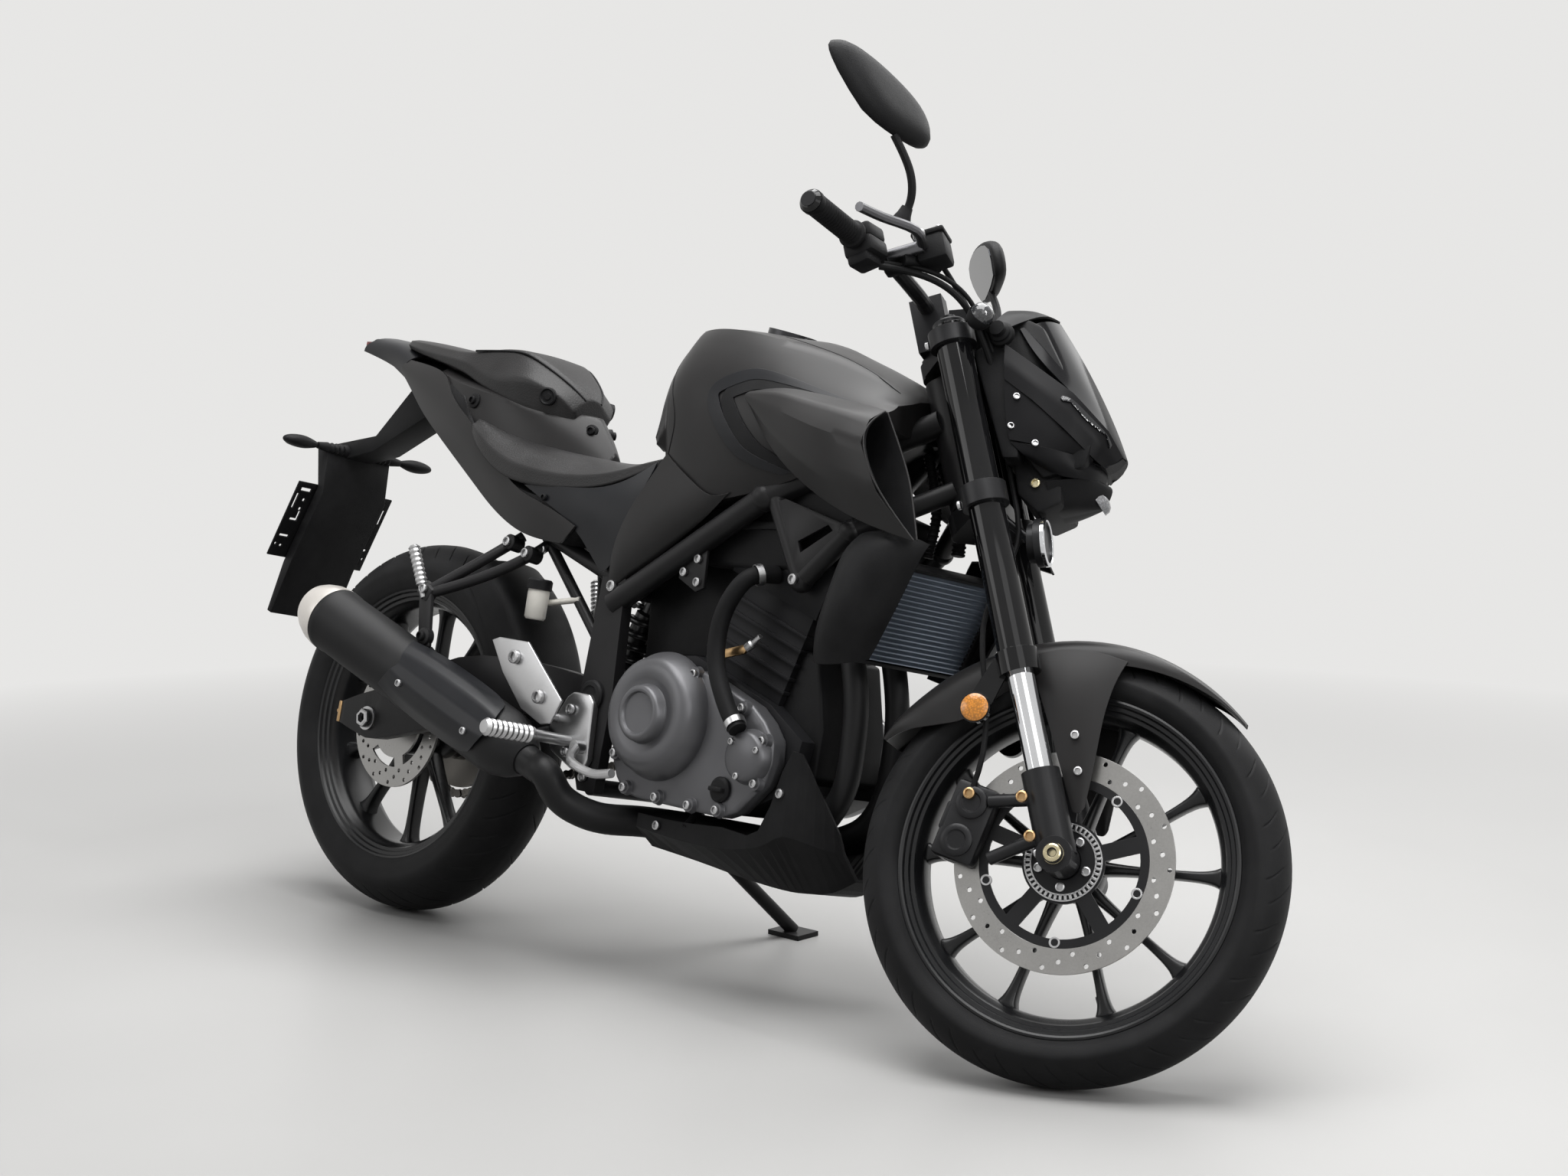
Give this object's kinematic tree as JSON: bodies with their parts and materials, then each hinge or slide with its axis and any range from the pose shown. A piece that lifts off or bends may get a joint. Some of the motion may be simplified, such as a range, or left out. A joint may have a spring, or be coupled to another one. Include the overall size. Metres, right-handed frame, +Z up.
{
  "type": "standard motorcycle",
  "caption": "Naked road motorcycle leaning on its side stand: steered fork, spinning wheels, folding side stand and hinged fuel cap.",
  "frame": {"origin": "on the ground, under the middle of the parked bike's box", "axes": "+X forward, +Y to the bike's left, +Z up; the bike leans left on its side stand"},
  "size_m": [2.0703, 0.8535, 1.3878],
  "materials": {
    "satin_paint": "satin black paint",
    "frame_paint": "semi-gloss black paint",
    "black_plastic": "grained black plastic",
    "seat_cover": "grained black vinyl",
    "tyre_rubber": "black rubber",
    "wheel_paint": "satin black coated aluminium",
    "disc_steel": "brushed stainless steel",
    "black_alloy": "black anodised aluminium",
    "fork_gloss": "gloss black anodised aluminium",
    "chrome_tube": "hard chrome",
    "engine_case": "graphite grey paint",
    "engine_black": "matte black paint",
    "radiator_core": "bare aluminium fins",
    "exhaust_black": "heat-proof black paint",
    "brushed_metal": "brushed stainless steel",
    "bare_alloy": "cast aluminium",
    "spring_black": "black",
    "chain_steel": "oiled steel",
    "rubber": "black rubber",
    "lamp_clear": "clear lens",
    "lamp_red": "red lens",
    "reservoir_white": "translucent white plastic",
    "cap_alloy": "black anodised aluminium"
  },
  "bodies": {
    "chassis": {"main_frame": "frame_paint", "subframe": "frame_paint", "crankcase": "engine_black", "cylinder_head": "engine_black", "clutch_cover": "engine_case", "alternator_cover": "engine_case", "radiator": "radiator_core", "radiator_shrouds": "satin_paint", "exhaust_header": "exhaust_black", "muffler": "exhaust_black", "muffler_cap": "brushed_metal", "fuel_tank": "satin_paint", "tank_scoops": "satin_paint", "side_covers": "satin_paint", "rider_seat": "seat_cover", "pillion_seat": "seat_cover", "tail_cowl": "satin_paint", "tail_lamp": "lamp_red", "plate_bracket": "black_plastic", "rear_signals": "black_plastic", "swingarm": "frame_paint", "rear_shock": "spring_black", "rear_axle": "chrome_tube", "rear_caliper": "black_alloy", "chain": "chain_steel", "footrest_hangers": "bare_alloy", "footrests": "bare_alloy", "foot_levers": "black_alloy", "pillion_brackets": "black_alloy", "belly_pan": "satin_paint", "coolant_hose": "rubber", "rear_reservoir": "reservoir_white"},
    "fork": {"yokes": "black_alloy", "fork_outer_tubes": "fork_gloss", "fork_inner_tubes": "chrome_tube", "fork_lowers": "black_alloy", "front_axle": "chrome_tube", "front_caliper": "black_alloy", "front_fender": "satin_paint", "handlebar": "black_alloy", "grips": "rubber", "switchgear": "black_plastic", "brake_reservoir": "black_plastic", "levers": "bare_alloy", "front_brake_hose": "rubber", "mirrors": "black_plastic", "headlamp_mask": "satin_paint", "headlamp_lens": "lamp_clear", "instrument": "black_plastic", "front_signals": "lamp_clear"},
    "front_wheel": {"front_tyre": "tyre_rubber", "front_rim": "wheel_paint", "front_disc": "disc_steel", "front_disc_carrier": "black_alloy"},
    "rear_wheel": {"rear_tyre": "tyre_rubber", "rear_rim": "wheel_paint", "rear_disc": "disc_steel", "rear_sprocket": "chain_steel"},
    "side_stand": {"side_stand": "frame_paint"},
    "fuel_cap": {"fuel_cap": "cap_alloy"}
  },
  "joints": [
    {"name": "steering", "type": "hinge", "parent": "chassis", "child": "fork", "pos_m": [0.46215, -0.0166, 0.83107], "axis": [-0.4183, 0.2043, 0.885], "range_deg": [-50, 0]},
    {"name": "front_wheel_spin", "type": "hinge", "parent": "fork", "child": "front_wheel", "pos_m": [0.76114, -0.12848, 0.27507], "axis": [-0.3839, 0.8433, -0.3761], "continuous": true},
    {"name": "rear_wheel_spin", "type": "hinge", "parent": "chassis", "child": "rear_wheel", "pos_m": [-0.6155, -0.13737, 0.30799], "axis": [0, 0.9744, -0.225], "continuous": true},
    {"name": "side_stand_swing", "type": "hinge", "parent": "chassis", "child": "side_stand", "pos_m": [-0.06787, -0.04592, 0.20619], "axis": [0.1702, 0.7061, 0.6874], "range_deg": [0, 99]},
    {"name": "fuel_cap_lid", "type": "hinge", "parent": "chassis", "child": "fuel_cap", "pos_m": [0.1402, 0.01591, 0.97189], "axis": [0, 0.9744, -0.225], "range_deg": [0, 100]}
  ]
}
